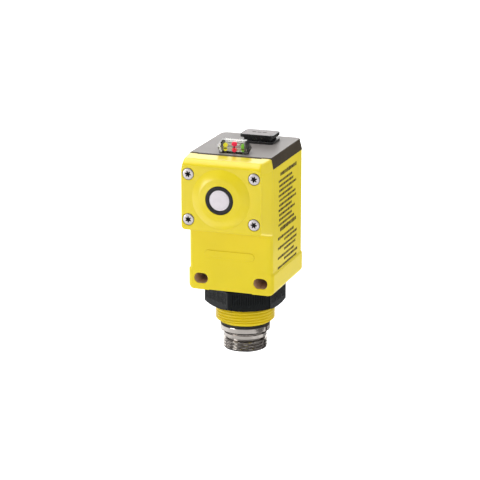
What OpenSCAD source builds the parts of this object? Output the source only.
// Block-style ultrasonic proximity sensor with an M30 threaded base and a screw-on connector.
// Millimetres. Origin on the axis of the M30 boss, in the plane of the housing's underside.
// +X is to the right seen from the front, the sensing face looks along -Y, +Z is up.

/* [Housing] */
// Width of the housing's side walls, outside
body_w = 43.2; // [42.8:0.1:43.6]
// Width across the mounting foot
foot_w = 44.5; // [44.3:0.1:44.8]
// Height of the mounting foot
foot_h = 10.4; // [10:0.1:11]
// Distance from the boss axis to the lower front face
front_y = 22.3; // [22:0.1:22.6]
// Distance from the boss axis to the back face
back_y = 25.6; // [25.2:0.1:26]
// Height of the housing's side walls
wall_top = 64; // [63.8:0.1:64.2]
// Wall thickness of the housing
wall = 2.4; // [2.2:0.1:2.5]

/* [Sensing head] */
// How far the head stands out from the lower front face
head_out = 13.5; // [13:0.1:14]
// Width of the flat front of the head
head_flat_w = 41; // [40.6:0.1:41.4]
// Height of the transducer axis
head_z = 50.7; // [50.5:0.1:50.9]
// Screw spacing across the head
head_screw_dx = 33.6; // [33.4:0.1:33.8]
// Screw spacing up the head
head_screw_dz = 22.6; // [22.4:0.1:22.8]
// Diameter of the head screws' heads
screw_head_d = 5.6; // [5.2:0.1:5.8]

/* [Transducer] */
// Diameter of the raised dome round the transducer
dome_d = 29.6; // [29:0.1:30]
// Height of the dome
dome_h = 2.4; // [2:0.1:2.6]
// Diameter of the white radiating face
face_d = 10.1; // [9.8:0.1:10.4]
// Outer diameter of the black rubber ring
ring_d = 14.3; // [14:0.1:14.6]

/* [Top cover] */
// Height of the cover's top face
cover_top = 69.6; // [69.4:0.1:69.8]
// Width of the cover's top face
cover_top_w = 41.6; // [41.2:0.1:42]
// Width of the cover where it meets the housing
cover_base_w = 44; // [43.8:0.1:44.2]

/* [Push button] */
// Centre of the button, to the right of the axis
button_x = 3.8; // [3.4:0.1:4.2]
// Centre of the button, behind the axis
button_y = 11.2; // [10.8:0.1:11.6]
// Width of the button cap
cap_w = 17.6; // [17.2:0.1:18]
// Depth of the button cap
cap_d = 12.2; // [12:0.1:12.6]
// Travel of the button
button_travel = 0.6; // [0.4:0.1:0.7]

/* [Indicator lens] */
// Height of the lens above the cover
lens_h = 6.2; // [5.8:0.1:6.4]
// Distance between the indicator lamps
led_pitch = 4.6; // [4.4:0.1:4.6]

/* [Mounting] */
// Outside diameter of the M30 boss thread
boss_d = 30; // [29.8:0.1:30]
// Length of the boss
boss_l = 20.3; // [20:0.1:20.6]
// Distance between the mounting slots
slot_pitch = 31; // [30:0.1:31.2]
// Length of each mounting slot
slot_l = 7.1; // [6.8:0.1:7.4]
// Width of each mounting slot
slot_w = 5.1; // [4.6:0.1:5.3]
// Height of the slots above the underside
slot_z = 5.9; // [5.7:0.1:6.1]
// Nut size across its flats
nut_af = 36; // [35.6:0.1:36.4]
// Thickness of the nut
nut_t = 10; // [9.6:0.1:10.2]
// Angle that the nut has stopped at
nut_angle = 25; // [0:1:59]

/* [Connector] */
// Diameter of the connector's external thread
conn_d = 22.22; // [22.1:0.01:22.3]
// Diameter of the connector's collar
collar_d = 25.4; // [25:0.1:25.8]
// Number of contact pins
pin_count = 5; // [4:1:5]

/* [Hidden] */
$fn = 64;
half_body = body_w / 2;
half_foot = foot_w / 2;
depth = front_y + back_y;
mid_y = (back_y - front_y) / 2;
edge_r = 1.6;

// Inside of the housing
in_x = half_body - wall;
in_front = front_y - wall;
in_back = back_y - wall;
core_x = 10.4;
core_floor = 2.5;

// Front block that carries the head screws
block_x = 19.4;
block_top = 67.2;
insert_d = 4.2;
insert_l = 6;
insert_boss_r = 3.2;
insert_boss_l = 7.3;

// Boss and its bore
boss_r = boss_d / 2;
boss_end_r = 13.1;
boss_cone = 1.6;
nut_zone = 11.4;
nut_zone_r = boss_r - 0.4;
bore_r = 9.6;
conn_seat_r = 10.4;
conn_seat_l = 8.1;
relief_x = 11;
relief_h = 0.5;
relief_y = 1.4;
foot_corner_r = 2.6;
foot_slope = 0.8;

// Sensing head
head_front = front_y + head_out;
head_top_flat = 66.6;
head_bottom_flat = 34.2;
head_bottom_back = 30.4;
head_opening = 12.2;
head_open_low = 37.2;
head_open_high = 63.4;
head_wall = 2.5;
head_gasket_in = 12.9;
head_gasket_w = 1.4;
head_gasket_t = 1.2;
screw_r = 1.5;
screw_clear_r = 1.7;
screw_head_t = 1.8;
screw_recess_r = 1.3;
screw_recess_l = 1.2;
counterbore_r = screw_head_d / 2 + 0.2;
pocket_x = 17.4;
pocket_w = 4.2;
dome_top_r = ring_d / 2 + 0.45;

// Transducer, measured back from the tip of the dome
tip_y = head_front + dome_h;
face_t = 0.6;
can_wall = 0.6;
can_l = 9.2;
piezo_r = 3.6;
piezo_t = 0.7;
ring_flange_r = 8.8;
ring_flange_t = 1.5;
lead_gap = 3.2;
lead_r = 0.4;

// Cover
cover_t = 2;
cover_in_x = 19.8;
cover_in_back = 23.7;
tongue_out = in_x - 0.2;
tongue_in = tongue_out - 1.7;
tongue_l = 2.2;
tongue_front = 14.4;
groove_x = tongue_out - 0.7;
gasket_low = wall_top - 1.6;
gasket_high = wall_top - 0.6;
lip_x = 16.5;
lip_out = 0.7;
lip_t = 0.65;

// Lens outline, seen from above: half widths at the front, the waist and the back
lens_front = 19.9;
lens_waist = 16.3;
lens_back = 12.4;
lens_x = [7, 9, 6.6];
lens_taper = [0.6, 1.15, 0.6];
lens_wall = 1.6;
lens_flange_t = 0.7;
lens_top_x = 6.6;
lens_side_h = 2.6;
led_y = 16.1;
led_r = 1.5;
led_top = cover_top + 4.1;
led_base = cover_top - 1.1;
leg_w = 0.5;
leg_pitch = 1.6;

// Button
bezel_w = cap_w;
bezel_d = cap_d + 1.2;
bezel_t = 1.2;
neck_w = bezel_w - 1;
neck_d = bezel_d - 1;
open_w = bezel_w - 2.8;
open_d = bezel_d - 3;
skirt_w = open_w - 0.6;
skirt_d = open_d - 0.6;
cap_low = cover_top + 2.1;
cap_high = cover_top + 4.4;
label_w = cap_w - 2;
label_d = cap_d - 1.7;
label_t = 0.5;
switch_w = 6;
switch_top = cover_top - 0.3;
plunger_r = 1.75;
plunger_top = switch_top + 1;
plunger_well = 2.4;
plunger_low = switch_top - plunger_well + button_travel + 0.3;

// Boards
board_t = 1.6;
board_x = 15.7;
board_top = 61.5;
rail_x = 15.9;
rail_t = 1.2;
rail_front = 14.5;
rail_back = 14;
plate_low = foot_h + 0.6;
plate_t = 1.6;
board_low = plate_low + plate_t;
main_y = -13;
power_y = 9;
top_board_low = cover_top - 5;
top_board_t = 1.4;
tongue_x = 12.4;
tongue_y = 18.8;
rib_w = 1.3;
rib_top = 42;
plate_hole = [9, 8];
header_w = 15.2;
pin_gap = 2.54;
coil_x = 8;
coil_z = 29;
core_w = 9;
core_h = 10;
core_t = 1.2;
coil_l = 4.8;
coil_r = 3.6;
can_z = 47;
can_r = 4;
can_h = 11;

// Connector
conn_r = conn_d / 2;
collar_r = collar_d / 2;
seal_t = 1.5;
collar_low = -25.2;
neck_r = 9.8;
neck_high = -27.3;
thread_high = -28.8;
thread_low = -34;
conn_end = -34.5;
insert_r = 8.3;
insert_low = -27;
insert_high = -14;
pin_r = 1;
pin_circle = 5.35;
pin_low = -33;
pin_high = -13;
wire_r = 0.55;
wire_bend_r = 0.6;
wire_bend_z = 3;
key_w = 1.8;
notch_w = 1;
notch_angle = -15;

// Nut and washer
washer_t = 1;
washer_in = boss_r + 0.3;
washer_out = 18.4;
nut_bore = boss_r + 0.1;
nut_corner = nut_af / 2 / cos(30);
nut_face_r = 18.2;
nut_chamfer = 1.2;

eps = 0.01;

// ---- helpers ----

// Rectangle with true arcs at its corners
module rounded_rect(w, d, r) {
    square([w - 2 * r, d], center = true);
    square([w, d - 2 * r], center = true);
    for (sx = [-1, 1], sy = [-1, 1])
        translate([sx * (w / 2 - r), sy * (d / 2 - r)]) circle(r);
}

// Upright block with rounded vertical edges, centred on [x, y]
module block(x, y, z0, z1, w, d, r) {
    translate([x, y, z0]) linear_extrude(z1 - z0) rounded_rect(w, d, r);
}

// Plain box between two corners
module box(low, high) {
    translate(low) cube(high - low);
}

// Outline in y and z, drawn out along x
module side_profile(width, points) {
    translate([-width / 2, 0, 0]) rotate([90, 0, 90]) linear_extrude(width) polygon(points);
}

// Outline in x and z, drawn out from y0 to y1
module front_profile(y0, y1, points) {
    translate([0, y1, 0]) rotate([90, 0, 0]) linear_extrude(y1 - y0) polygon(points);
}

// Cylinder along y from y0 to y1
module rod_y(x, z, y0, y1, r) {
    translate([x, y0, z]) rotate([-90, 0, 0]) cylinder(h = y1 - y0, r = r);
}

// Round solid about the transducer axis; the outline is in radius and distance in front of y = 0
module turned_y(points) {
    translate([0, 0, head_z]) rotate([90, 0, 0]) rotate_extrude($fn = 96) polygon(points);
}

module at_head_screws() {
    for (sx = [-1, 1], sz = [-1, 1])
        translate([sx * head_screw_dx / 2, 0, head_z + sz * head_screw_dz / 2]) children();
}

// Straight round wire between two points
module wire(from, to, r) {
    run = to - from;
    length = norm(run);
    translate(from)
        rotate([0, acos(run.z / length), atan2(run.y, run.x)])
            cylinder(h = length, r = r, $fn = 24);
}

// ---- housing ----

module slot_cut(x) {
    for (end = [-1, 1])
        rod_y(x + end * (slot_l - slot_w) / 2, slot_z, -front_y - 1, back_y + 1, slot_w / 2);
    box([x - (slot_l - slot_w) / 2, -front_y - 1, slot_z - slot_w / 2],
        [x + (slot_l - slot_w) / 2, back_y + 1, slot_z + slot_w / 2]);
}

// Foot seen from the front, with round lower corners and a sloping shoulder
module foot_solid() {
    corner = foot_corner_r;
    top = foot_h + foot_slope;
    intersection() {
        block(0, mid_y, 0, top, foot_w, depth, edge_r);
        translate([0, back_y, 0]) rotate([90, 0, 0]) linear_extrude(depth) {
            polygon([[-half_foot, corner], [half_foot, corner], [half_foot, foot_h],
                [half_body, top], [-half_body, top], [-half_foot, foot_h]]);
            polygon([[-half_foot + corner, 0], [half_foot - corner, 0],
                [half_foot - corner, corner], [-half_foot + corner, corner]]);
            for (sx = [-1, 1]) translate([sx * (half_foot - corner), corner]) circle(corner);
        }
    }
}

module boss_solid() {
    translate([0, 0, -nut_zone]) cylinder(h = nut_zone + eps, r = nut_zone_r, $fn = 96);
    translate([0, 0, -boss_l + boss_cone])
        cylinder(h = boss_l - boss_cone - nut_zone, r = boss_r, $fn = 96);
    translate([0, 0, -boss_l]) cylinder(h = boss_cone, r1 = boss_end_r, r2 = boss_r, $fn = 96);
}

module housing() {
    color("gold") difference() {
        union() {
            difference() {
                union() {
                    foot_solid();
                    block(0, mid_y, foot_h, wall_top, body_w, depth, edge_r);
                }
                block(0, (in_back - in_front) / 2, foot_h + 0.6, wall_top + 1,
                    2 * in_x, in_front + in_back, 1);
            }
            box([-block_x, -front_y, wall_top - 1], [block_x, -in_front, block_top]);
            intersection() {
                at_head_screws() rod_y(0, 0, -front_y, -front_y + insert_boss_l, insert_boss_r);
                box([-block_x, -front_y, 0], [block_x, 0, block_top]);
            }
            boss_solid();
        }
        box([-core_x, -in_front, core_floor], [core_x, in_back, foot_h + 1]);
        translate([0, 0, -boss_l]) cylinder(h = boss_l + core_floor + eps, r = bore_r);
        translate([0, 0, -boss_l - eps]) cylinder(h = conn_seat_l + eps, r = conn_seat_r);
        box([-head_opening, -front_y - 1, head_open_low],
            [head_opening, -in_front + eps, wall_top - 3.4]);
        for (sx = [-1, 1]) slot_cut(sx * slot_pitch / 2);
        at_head_screws()
            rod_y(0, 0, -front_y - 1, -front_y + insert_l + 0.5, insert_d / 2);
        box([-relief_x, -front_y - 1, -1], [relief_x, -front_y + relief_y, relief_h]);
    }
}

// ---- sensing head ----

// Side view of the head: a bevelled, gently rising top and a sloping underside
module head_form() {
    half_flat = head_flat_w / 2;
    half_back = cover_base_w / 2;
    intersection() {
        side_profile(foot_w, [[-front_y, head_bottom_back],
            [-head_front + 0.9, head_bottom_flat - 0.4], [-head_front, head_bottom_flat + 0.5],
            [-head_front, head_top_flat], [-head_front + 1, head_top_flat + 1.5],
            [-head_front + 2.5, head_top_flat + 2.3], [-head_front + 5, head_top_flat + 2.6],
            [-front_y, cover_top - 0.1]]);
        translate([0, 0, head_bottom_back - 1]) linear_extrude(cover_top - head_bottom_back + 2)
            polygon([[-half_back, -front_y], [-half_back, -front_y - 2],
                [-half_flat - 0.4, -head_front + 2], [-half_flat, -head_front],
                [half_flat, -head_front], [half_flat + 0.4, -head_front + 2],
                [half_back, -front_y - 2], [half_back, -front_y]]);
        front_profile(-head_front, -front_y, [[-half_back, 32], [-half_back + 1.6, 30],
            [half_back - 1.6, 30], [half_back, 32], [half_back, wall_top],
            [cover_top_w / 2, cover_top], [-cover_top_w / 2, cover_top], [-half_back, wall_top]]);
    }
}

module sensing_head() {
    pocket_half = head_screw_dz / 2 - counterbore_r - 0.6;
    pocket_low = head_z - pocket_half;
    pocket_high = head_z + pocket_half;
    color("gold") difference() {
        union() {
            head_form();
            turned_y([[0, head_front - 1], [dome_d / 2, head_front - 1],
                [dome_d / 2, head_front + 0.05], [dome_d / 2 - 1.4, head_front + 0.75],
                [dome_d / 2 - 3.2, head_front + 1.45], [dome_d / 2 - 5.2, head_front + 2.05],
                [dome_top_r, tip_y - 0.05], [dome_top_r - 0.2, tip_y], [0, tip_y]]);
        }
        box([-head_opening, -head_front + head_wall, head_open_low],
            [head_opening, -front_y + 1, head_open_high]);
        for (sx = [-1, 1]) translate([sx * pocket_x, 0, 0])
            box([-pocket_w / 2, -head_front + head_wall, pocket_low],
                [pocket_w / 2, -front_y + 1, pocket_high]);
        head_gasket_ring(-front_y - head_gasket_t, -front_y + 1);
        rod_y(0, head_z, -tip_y - 1, -head_front + head_wall + eps, ring_d / 2);
        at_head_screws() {
            rod_y(0, 0, -head_front - 1, -head_front + screw_head_t, counterbore_r);
            rod_y(0, 0, -head_front, -front_y + 1, screw_clear_r);
        }
        box([-lip_x, -front_y - lip_out, cover_top - lip_t], [lip_x, -front_y + 1, cover_top + 1]);
    }
}

// Rectangular ring that seals the head to the housing's front face
module head_gasket_ring(y0, y1) {
    outer = head_gasket_in + head_gasket_w;
    half_h = (head_open_high - head_open_low) / 2 + 0.2;
    mid_z = (head_open_high + head_open_low) / 2;
    translate([0, y1, mid_z]) rotate([90, 0, 0]) linear_extrude(y1 - y0) difference() {
        rounded_rect(2 * outer, 2 * (half_h + head_gasket_w), 2);
        rounded_rect(2 * head_gasket_in, 2 * half_h, 0.8);
    }
}

module head_gasket() {
    color("dimgray") head_gasket_ring(-front_y - head_gasket_t, -front_y);
}

module head_screws() {
    color("silver") at_head_screws() difference() {
        union() {
            rod_y(0, 0, -head_front - 0.1, -head_front + screw_head_t, screw_head_d / 2);
            rod_y(0, 0, -head_front, -front_y + insert_l - 0.3, screw_r);
        }
        rotate([90, 0, 0]) translate([0, 0, head_front - screw_recess_l])
            cylinder(h = screw_recess_l + 1, r = screw_recess_r, $fn = 6);
    }
}

module screw_inserts() {
    color("goldenrod") at_head_screws() difference() {
        rod_y(0, 0, -front_y, -front_y + insert_l, insert_d / 2);
        rod_y(0, 0, -front_y - 1, -front_y + insert_l + 1, screw_r);
    }
}

// ---- transducer ----

module transducer_face() {
    color("lavender")
        turned_y([[0, tip_y - face_t + 0.1], [face_d / 2, tip_y - face_t + 0.1],
            [face_d / 2, tip_y - 0.05], [face_d / 2 - 0.15, tip_y + 0.1], [0, tip_y + 0.1]]);
}

module transducer_ring() {
    flange_y = head_front - head_wall;
    color("#202020")
        turned_y([[face_d / 2, flange_y - ring_flange_t], [ring_flange_r, flange_y - ring_flange_t],
            [ring_flange_r, flange_y], [ring_d / 2, flange_y], [ring_d / 2, tip_y - 0.1],
            [ring_d / 2 - 0.3, tip_y + 0.05], [face_d / 2 + 0.1, tip_y + 0.05],
            [face_d / 2, tip_y - 0.05]]);
}

module transducer_can() {
    top = tip_y - face_t + 0.1;
    color("silver")
        turned_y([[0, top - can_wall], [face_d / 2 - can_wall, top - can_wall],
            [face_d / 2 - can_wall, top - can_l], [face_d / 2, top - can_l],
            [face_d / 2, top], [0, top]]);
}

module piezo_disc() {
    top = tip_y - face_t + 0.1 - can_wall;
    color("wheat")
        turned_y([[0, top - piezo_t], [piezo_r, top - piezo_t], [piezo_r, top], [0, top]]);
}

module transducer_leads() {
    start = -(tip_y - face_t + 0.1 - can_wall - piezo_t);
    color("firebrick")
        for (sx = [-1, 1]) rod_y(sx * lead_gap / 2, head_z, start, main_y, lead_r);
}

// ---- top cover ----

// Outside of the cover: sloping sides and back, chamfered along the top
module cover_form() {
    half_top = cover_top_w / 2;
    half_base = cover_base_w / 2;
    intersection() {
        front_profile(-front_y, back_y, [[-half_base, wall_top], [half_base, wall_top],
            [half_top + 0.15, cover_top - 0.35], [half_top - 0.25, cover_top],
            [-half_top + 0.25, cover_top], [-half_top - 0.15, cover_top - 0.35]]);
        side_profile(cover_base_w + 2, [[-front_y, wall_top], [back_y, wall_top],
            [back_y - 0.5, cover_top - 0.35], [back_y - 0.9, cover_top],
            [-front_y, cover_top]]);
        block(0, mid_y - 4, wall_top - 1, cover_top + 1, cover_base_w, depth + 8, 2.4);
    }
}

module top_cover() {
    rear_run = tongue_front + in_back;
    color("dimgray") difference() {
        union() {
            difference() {
                cover_form();
                box([-cover_in_x, -front_y - 1, wall_top + 1],
                    [cover_in_x, cover_in_back, cover_top - cover_t]);
                box([-tongue_in, -front_y - 1, wall_top - 1],
                    [tongue_in, in_back - 1.9, wall_top + 1 + eps]);
                box([-cover_in_x, -front_y - 1, wall_top - 1],
                    [cover_in_x, -tongue_front, wall_top + 1 + eps]);
            }
            difference() {
                box([-tongue_out, -tongue_front, wall_top - tongue_l],
                    [tongue_out, in_back - 0.2, wall_top + eps]);
                box([-tongue_in, -tongue_front - 1, wall_top - tongue_l - 1],
                    [tongue_in, in_back - 1.9, wall_top + 1]);
            }
            box([-lip_x, -front_y - lip_out, cover_top - lip_t], [lip_x, -front_y + 1, cover_top]);
        }
        difference() {
            box([-in_x - 1, -tongue_front - 1, gasket_low], [in_x + 1, in_back + 1, gasket_high]);
            box([-groove_x, -tongue_front - 2, gasket_low - 1],
                [groove_x, in_back - 0.9, gasket_high + 1]);
        }
        translate([0, 0, cover_top - cover_t - 1]) linear_extrude(cover_t + 2)
            polygon(lens_outline(1));
        block(button_x, button_y, cover_top - cover_t - 1, cover_top + 1, neck_w, neck_d, 2);
    }
}

module cover_gasket() {
    color("black") difference() {
        box([-in_x, -tongue_front, gasket_low], [in_x, in_back, gasket_high]);
        box([-groove_x, -tongue_front - 1, gasket_low - 1],
            [groove_x, in_back - 0.9, gasket_high + 1]);
        for (sx = [-1, 1]) difference() {
            translate([sx * in_x, in_back, gasket_low - 1]) cube([2, 2, 4], center = true);
            translate([sx * (in_x - 1), in_back - 1, gasket_low - 2]) cylinder(h = 5, r = 1);
        }
    }
}

// ---- indicator lens and lamps ----

function lens_outline(inset) = let(
    a = lens_x[0] - inset * lens_taper[0],
    b = lens_x[1] - inset * lens_taper[1],
    c = lens_x[2] - inset * lens_taper[2])
    [[-a, -lens_front + inset], [a, -lens_front + inset], [b, -lens_waist],
        [c, -lens_back - inset], [-c, -lens_back - inset], [-b, -lens_waist]];

// The lens seen from its end: upright sides, then a slope to the flat top
function lens_end_view(inset, low, high) = let(side = lens_x[1] - inset, top = lens_top_x - inset / 2)
    [[-side, low], [side, low], [side, cover_top + lens_side_h], [top, high],
        [-top, high], [-side, cover_top + lens_side_h]];

module indicator_lens() {
    flange_low = cover_top - cover_t - lens_flange_t;
    lens_top = cover_top + lens_h;
    room_top = lens_top - lens_wall;
    color("#dfe8ea80") difference() {
        union() {
            intersection() {
                translate([0, 0, cover_top]) linear_extrude(lens_h) polygon(lens_outline(0));
                side_profile(body_w, [[-lens_front, cover_top],
                    [-lens_front + 0.2, cover_top + lens_side_h + 0.4],
                    [-lens_front + 2, lens_top - 0.5], [-lens_front + 2.6, lens_top],
                    [-lens_back - 0.9, lens_top - 0.2],
                    [-lens_back, lens_top - 1.2], [-lens_back, cover_top]]);
                front_profile(-lens_front, -lens_back, lens_end_view(0, cover_top, lens_top));
            }
            translate([0, 0, flange_low]) linear_extrude(cover_top - flange_low + eps)
                polygon(lens_outline(1));
            translate([0, 0, flange_low]) linear_extrude(lens_flange_t)
                polygon(lens_outline(0.45));
        }
        intersection() {
            translate([0, 0, flange_low - 1]) linear_extrude(lens_h + 3)
                polygon(lens_outline(lens_wall));
            side_profile(body_w, [[-lens_front, flange_low - 1],
                [-lens_front, cover_top + lens_side_h],
                [-lens_front + lens_wall * 2, room_top],
                [-lens_back, room_top], [-lens_back, flange_low - 1]]);
            front_profile(-lens_front, -lens_back, lens_end_view(1, flange_low - 1, room_top));
        }
    }
}

// Through-hole lamp: collar, round body, domed tip and two legs
module lamp(x) {
    board_face = top_board_low + top_board_t;
    translate([x, -led_y, 0]) {
        translate([0, 0, led_base]) cylinder(h = 0.8, r = led_r + 0.2);
        translate([0, 0, led_base]) cylinder(h = led_top - led_r - led_base, r = led_r);
        translate([0, 0, led_top - led_r]) sphere(led_r);
        for (sx = [-1, 1])
            translate([(sx * leg_pitch - leg_w) / 2, -leg_w / 2, board_face])
                cube([leg_w, leg_w, led_base - board_face + 0.1]);
    }
}

module led_yellow() {
    color("yellow") lamp(-led_pitch);
}

module led_red() {
    color("red") lamp(0);
}

module led_green() {
    color("limegreen") lamp(led_pitch);
}

// ---- push button ----

module button_bezel() {
    color("#1c1c1c") difference() {
        union() {
            block(button_x, button_y, cover_top, cover_top + bezel_t, bezel_w, bezel_d, 2.4);
            block(button_x, button_y, cover_top - cover_t - 0.6, cover_top + eps,
                neck_w, neck_d, 2);
        }
        block(button_x, button_y, cover_top - cover_t - 1, cover_top + bezel_t + 1,
            open_w, open_d, 1.4);
        block(button_x, button_y, cover_top + 0.3, cover_top + 0.8,
            open_w + 1, open_d + 1, 1.4);
    }
}

module button_seal() {
    color("black") difference() {
        block(button_x, button_y, cover_top + 0.3, cover_top + 0.8, open_w + 1, open_d + 1, 1.4);
        block(button_x, button_y, cover_top, cover_top + 1, skirt_w + 0.3, skirt_d + 0.3, 1.2);
    }
}

module button_cap() {
    color("#181818") difference() {
        union() {
            block(button_x, button_y, cap_low, cap_high, cap_w, cap_d, 2);
            difference() {
                block(button_x, button_y, cover_top - 0.6, cap_low + eps, skirt_w, skirt_d, 1);
                block(button_x, button_y, cover_top - 1, cap_low,
                    skirt_w - 2, skirt_d - 2, 0.8);
            }
            translate([button_x, button_y, plunger_top])
                cylinder(h = cap_low - plunger_top + eps, r = 2.2);
        }
        translate([-0.4, -0.2, 0])
            block(button_x, button_y, cap_high - label_t, cap_high + 1, label_w, label_d, 1.2);
    }
}

module button_label() {
    color("lightgray") translate([-0.4, -0.2, 0])
        block(button_x, button_y, cap_high - label_t, cap_high, label_w, label_d, 1.2);
}

module switch_body() {
    low = top_board_low + top_board_t;
    color("dimgray") difference() {
        block(button_x, button_y, low, switch_top, switch_w, switch_w, 0.4);
        translate([button_x, button_y, switch_top - plunger_well])
            cylinder(h = plunger_well + 1, r = plunger_r + 0.1);
    }
}

module switch_plunger() {
    color("black") translate([button_x, button_y, plunger_low])
        cylinder(h = plunger_top - plunger_low, r = plunger_r);
}

// ---- circuit boards ----

// Level board under the cover, with a tongue that carries the lamps
module top_board() {
    color("darkgreen") translate([0, 0, top_board_low]) linear_extrude(top_board_t)
        polygon([[-tongue_x, -tongue_y], [tongue_x, -tongue_y], [tongue_x, -rail_front],
            [tongue_in - 0.3, -rail_front], [tongue_in - 0.3, in_back - 2.4],
            [-tongue_in + 0.3, in_back - 2.4], [-tongue_in + 0.3, -rail_front],
            [-tongue_x, -rail_front]]);
}

module upright_board(y) {
    box([-board_x, y, board_low], [board_x, y + board_t, board_top]);
}

module main_board() {
    color("darkgreen") upright_board(main_y);
}

module power_board() {
    color("darkgreen") upright_board(power_y);
}

// Plastic chassis: a floor plate with two rails, ribbed to hold the upright boards
module board_carrier() {
    color("lightgray") {
        difference() {
            box([-in_x + 0.4, -in_front + 0.4, plate_low], [in_x - 0.4, in_back - 0.4, board_low]);
            box([-plate_hole.x, -plate_hole.y, plate_low - 1],
                [plate_hole.x, plate_hole.y - 0.8, board_low + 1]);
        }
        for (sx = [-1, 1]) {
            translate([sx * (rail_x + rail_t / 2), 0, 0])
                box([-rail_t / 2, -rail_front, board_low - eps],
                    [rail_t / 2, rail_back, top_board_low]);
            for (y = [main_y, power_y], side = [-1, 1])
                translate([sx * (rail_x - rail_t / 2),
                    y + board_t / 2 + side * (board_t + rib_w) / 2, 0])
                    box([-rail_t / 2 - eps, -rib_w / 2, board_low - eps],
                        [rail_t / 2 + eps, rib_w / 2, rib_top]);
        }
    }
}

module board_headers() {
    color("black") for (y = [main_y + board_t, power_y - pin_gap])
        box([-header_w / 2, y, board_top - 3], [header_w / 2, y + pin_gap, top_board_low]);
}

// Coil between two core plates
module drive_transformer() {
    face = main_y + board_t;
    color("dimgray") for (y = [face, face + core_t + coil_l])
        translate([-coil_x - core_w / 2, y, coil_z - core_h / 2]) cube([core_w, core_t, core_h]);
    color("sienna") rod_y(-coil_x, coil_z, face + core_t, face + core_t + coil_l, coil_r);
}

module supply_capacitors() {
    color("midnightblue")
        for (x = [-7.5, 4]) rod_y(x, can_z, power_y - can_h, power_y, can_r);
}

// Chip of width w, height h and thickness t, lying against a board face at y
module chip(x, z, w, h, y, t) {
    translate([x - w / 2, min(y, y + t), z - h / 2]) cube([w, abs(t), h]);
}

module board_chips() {
    front = main_y;
    back = power_y + board_t;
    color("#303030") {
        chip(0, 32, 12, 12, front, -1.4);
        chip(-8, 19.5, 6, 5, front, -1);
        chip(6.5, 19, 5, 4, front, -1);
        chip(0, 42, 10, 8, back, 1.6);
        chip(-7, 26, 6, 8, back, 2.2);
        chip(7, 26, 6, 8, back, 2.2);
    }
}

// ---- connector ----

function pin_place(i) = let(a = -90 + 36 + i * 360 / pin_count)
    [pin_circle * cos(a), pin_circle * sin(a)];

module connector_wires() {
    color("saddlebrown") for (i = [0:pin_count - 1]) let(
        p = pin_place(i),
        bend = [p.x * 0.9, p.y * 0.9, wire_bend_z],
        knee = [p.x * 0.8, 6.2 - 0.5 * (i % 2), 16 + 2.4 * (i % 3)]) {
            wire([p.x, p.y, pin_high], bend, wire_r);
            translate(bend) sphere(wire_bend_r, $fn = 24);
            wire(bend, knee, wire_r);
            translate(knee) sphere(wire_bend_r, $fn = 24);
            wire(knee, [knee.x, power_y, knee.z], wire_r);
        }
}

module connector_seal() {
    color("black") translate([0, 0, -boss_l - seal_t]) difference() {
        cylinder(h = seal_t, r = boss_end_r - 0.5, $fn = 96);
        translate([0, 0, -1]) cylinder(h = seal_t + 2, r = conn_seat_r);
    }
}

// Turned metal shell: threaded stub, collar, waist and cable thread
module connector_shell() {
    stub_top = -boss_l + conn_seat_l;
    seat = -boss_l - seal_t;
    color("silver") difference() {
        union() {
            rotate_extrude($fn = 96) polygon([[insert_r, stub_top], [conn_seat_r, stub_top],
                [conn_seat_r, seat], [collar_r - 0.3, seat], [collar_r, seat - 0.3],
                [collar_r, collar_low + 0.3], [collar_r - 0.3, collar_low],
                [neck_r, neck_high], [neck_r, thread_high], [conn_r, thread_high],
                [conn_r, thread_low], [conn_r - 0.5, conn_end], [insert_r, conn_end]]);
            rotate([0, 0, 90]) box([insert_r - 0.8, -key_w / 2, conn_end + 0.5],
                [insert_r + 0.4, key_w / 2, insert_low]);
        }
        for (turn = [0, 180]) rotate([0, 0, notch_angle + turn])
            box([collar_r - 1, -notch_w / 2, collar_low - 1],
                [collar_r + 1, notch_w / 2, seat + 1]);
    }
}

module connector_insert() {
    color("#2a2a2a") difference() {
        translate([0, 0, insert_low]) cylinder(h = insert_high - insert_low, r = insert_r);
        for (i = [0:pin_count - 1]) translate([pin_place(i).x, pin_place(i).y, insert_low - 1])
            cylinder(h = insert_high - insert_low + 2, r = pin_r);
    }
}

module contact_pins() {
    color("goldenrod") for (i = [0:pin_count - 1])
        translate([pin_place(i).x, pin_place(i).y, pin_low]) {
            cylinder(h = pin_high - pin_low, r = pin_r);
            translate([0, 0, -0.5]) cylinder(h = 0.5, r1 = 0.5, r2 = pin_r);
        }
}

// ---- nut ----

module nut_washer() {
    color("#303030") translate([0, 0, -washer_t]) difference() {
        cylinder(h = washer_t, r = washer_out, $fn = 96);
        translate([0, 0, -1]) cylinder(h = washer_t + 2, r = washer_in, $fn = 96);
    }
}

module mounting_nut() {
    top = -washer_t;
    low = top - nut_t;
    color("#202020") difference() {
        intersection() {
            translate([0, 0, low]) rotate([0, 0, nut_angle]) cylinder(h = nut_t, r = nut_corner, $fn = 6);
            rotate_extrude($fn = 96) polygon([[0, low], [nut_face_r, low],
                [nut_corner + 0.1, low + nut_chamfer], [nut_corner + 0.1, top], [0, top]]);
        }
        translate([0, 0, low - 1]) cylinder(h = nut_t + 2, r = nut_bore, $fn = 96);
        translate([0, 0, low - eps])
            cylinder(h = 0.5, r1 = nut_bore + 0.5, r2 = nut_bore, $fn = 96);
    }
}

housing();
sensing_head();
head_gasket();
head_screws();
screw_inserts();
transducer_face();
transducer_ring();
transducer_can();
piezo_disc();
transducer_leads();
top_cover();
cover_gasket();
indicator_lens();
led_yellow();
led_red();
led_green();
button_bezel();
button_seal();
button_cap();
button_label();
switch_body();
switch_plunger();
top_board();
main_board();
power_board();
board_carrier();
board_headers();
drive_transformer();
supply_capacitors();
board_chips();
connector_wires();
connector_seal();
connector_shell();
connector_insert();
contact_pins();
nut_washer();
mounting_nut();
